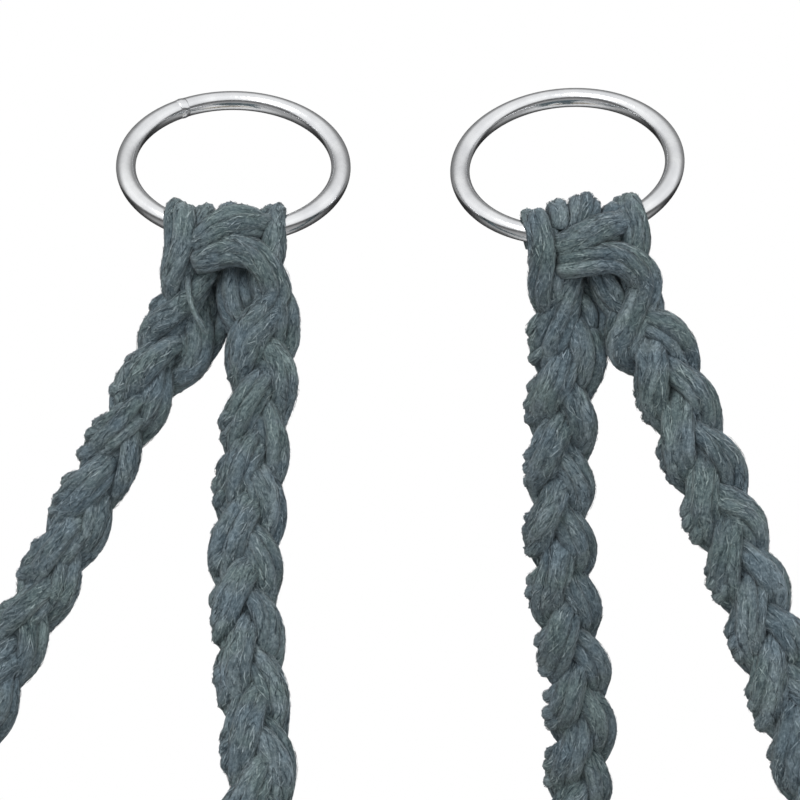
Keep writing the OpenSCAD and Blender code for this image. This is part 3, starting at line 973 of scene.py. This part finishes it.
def stoneware_material():
    """Matt cream stoneware with iron specks and faint throwing lines."""
    m = Nodes("stoneware")
    place = m.add("ShaderNodeTexCoord").outputs["Object"]
    cloud = m.noise(place, 18.0, 4.0)
    base = m.ramp(cloud, [(0.3, (0.60, 0.565, 0.50)), (0.7, (0.74, 0.71, 0.65))])
    speck = m.add("ShaderNodeTexVoronoi")
    speck.inputs["Scale"].default_value = 420.0
    m.link(place, speck.inputs["Vector"])
    where = m.noise(place, 130.0, 2.0)
    size = m.math("MULTIPLY", m.math("SUBTRACT", where, 0.42), 1.1)
    dark = m.math("LESS_THAN", speck.outputs["Distance"], size)
    m.link(m.mix(m.math("MULTIPLY", dark, 0.75), base, (0.20, 0.13, 0.08)), m.shader.inputs["Base Color"])
    lines = m.noise(m.scaled(place, (6.0, 6.0, 700.0)), 1.0, 2.0)
    grain = m.noise(place, 900.0, 3.0)
    normal = m.bump(lines, 0.25, 0.0006)
    m.link(m.bump(grain, 0.2, 0.0004, normal), m.shader.inputs["Normal"])
    m.link(m.ramp(cloud, [(0.3, (0.55,) * 3), (0.7, (0.72,) * 3)]), m.shader.inputs["Roughness"])
    return m.material


def floor_material():
    """A pale floor that fades out with distance from its middle, so no edge shows."""
    m = Nodes("pale_floor")
    place = m.add("ShaderNodeTexCoord").outputs["Object"]
    m.link(m.ramp(m.noise(place, 3.0, 4.0), [(0.3, (0.84,) * 3), (0.7, (0.88,) * 3)]),
           m.shader.inputs["Base Color"])
    away = m.add("ShaderNodeVectorMath", operation="LENGTH")
    m.link(place, away.inputs[0])
    m.link(m.ramp(away.outputs["Value"], [(0.25, (0.85,) * 3), (0.80, (0.0,) * 3)]),
           m.shader.inputs["Alpha"])
    m.shader.inputs["Roughness"].default_value = 0.8
    return m.material


# ---- stage

def make_camera():
    """A level camera in front of the rings."""
    data = bpy.data.cameras.new("camera")
    data.sensor_width = 36.0
    data.lens = 122.985                 # a long lens, 0.68 m in front of the rings
    camera = bpy.data.objects.new("camera", data)
    camera.location = (0.0006, -0.680, -0.0414)
    camera.rotation_euler = (math.radians(90), 0, 0)
    bpy.context.scene.collection.objects.link(camera)
    bpy.context.scene.camera = camera


def make_light(name, place, aim, size, power, mirrored=False):
    """A soft rectangular light; the rings only show it if it is mirrored."""
    data = bpy.data.lights.new(name, "AREA")
    data.shape = "RECTANGLE"
    data.size, data.size_y = size
    data.energy = power
    light = bpy.data.objects.new(name, data)
    light.location = place
    light.visible_glossy = mirrored
    from_to = np.array(aim, float) - np.array(place, float)
    light.rotation_euler = Vector(from_to).to_track_quat("-Z", "Y").to_euler()
    bpy.context.scene.collection.objects.link(light)


def world_ramp(tree, value, stops):
    """A ramp of greys over a direction's component, from -1 to 1."""
    half = tree.nodes.new("ShaderNodeMath")
    half.operation = "MULTIPLY_ADD"
    half.inputs[1].default_value = 0.5
    half.inputs[2].default_value = 0.5
    tree.links.new(value, half.inputs[0])
    ramp = tree.nodes.new("ShaderNodeValToRGB")
    fill_ramp(ramp.color_ramp, [(at, (grey,) * 3) for at, grey in stops])
    tree.links.new(half.outputs[0], ramp.inputs["Fac"])
    return ramp.outputs["Color"]


def make_world():
    """White for the camera, an even pale dome for soft light, and a graded room for the rings to reflect."""
    world = bpy.data.worlds.new("studio")
    bpy.context.scene.world = world
    world.use_nodes = True
    tree = world.node_tree
    tree.nodes.clear()
    link = tree.links.new
    coords = tree.nodes.new("ShaderNodeTexCoord")
    split = tree.nodes.new("ShaderNodeSeparateXYZ")
    link(coords.outputs["Generated"], split.inputs[0])
    height = world_ramp(tree, split.outputs["Z"],
                        [(0.0, 0.56), (0.30, 0.38), (0.42, 0.10), (0.50, 0.22), (0.555, 1.06), (0.80, 1.22),
                         (1.0, 1.05)])
    depth = world_ramp(tree, split.outputs["Y"], [(0.0, 1.0), (0.55, 0.92), (0.74, 0.30), (1.0, 0.12)])
    even = world_ramp(tree, split.outputs["Z"], [(0.0, 0.42), (0.45, 0.50), (1.0, 0.74)])
    room = tree.nodes.new("ShaderNodeMix")
    room.data_type = "RGBA"
    room.blend_type = "MULTIPLY"
    room.inputs["Factor"].default_value = 1.0
    link(height, room.inputs["A"])
    link(depth, room.inputs["B"])
    path = tree.nodes.new("ShaderNodeLightPath")
    seen = []
    for colour in (even, room.outputs["Result"], None):
        background = tree.nodes.new("ShaderNodeBackground")
        background.inputs["Color"].default_value = (1, 1, 1, 1)
        if colour is not None:
            link(colour, background.inputs["Color"])
        seen.append(background.outputs[0])
    shiny = tree.nodes.new("ShaderNodeMixShader")
    link(path.outputs["Is Glossy Ray"], shiny.inputs["Fac"])
    link(seen[0], shiny.inputs[1])
    link(seen[1], shiny.inputs[2])
    camera = tree.nodes.new("ShaderNodeMixShader")
    link(path.outputs["Is Camera Ray"], camera.inputs["Fac"])
    link(shiny.outputs[0], camera.inputs[1])
    link(seen[2], camera.inputs[2])
    out = tree.nodes.new("ShaderNodeOutputWorld")
    link(camera.outputs[0], out.inputs["Surface"])


def make_stage():
    """The floor, three lights and the world."""
    bpy.ops.mesh.primitive_grid_add(x_subdivisions=8, y_subdivisions=8, size=3.0, location=(0, 0, -0.74))
    floor = bpy.context.object
    floor.name = "floor"
    floor.data.materials.append(floor_material())
    make_light("key", (-0.7, -1.3, 0.9), (0, 0, -0.15), (0.9, 0.9), 17, mirrored=True)
    make_light("fill", (1.1, -1.0, 0.1), (0, 0, -0.2), (0.8, 1.2), 7)
    make_light("back", (0.3, 1.3, 0.7), (0, 0, -0.2), (1.0, 1.0), 15)
    make_world()
    bpy.context.scene.view_settings.view_transform = "Standard"


make_camera()
make_stage()
yarn = yarn_material()
make_braid("left", yarn, 11)
make_braid("right", yarn, 31)
make_rings(steel_material())
make_upper_cords(yarn)
make_lower_cords(yarn)
make_wound_knots(yarn)
make_tassel(yarn)
make_pot(stoneware_material())
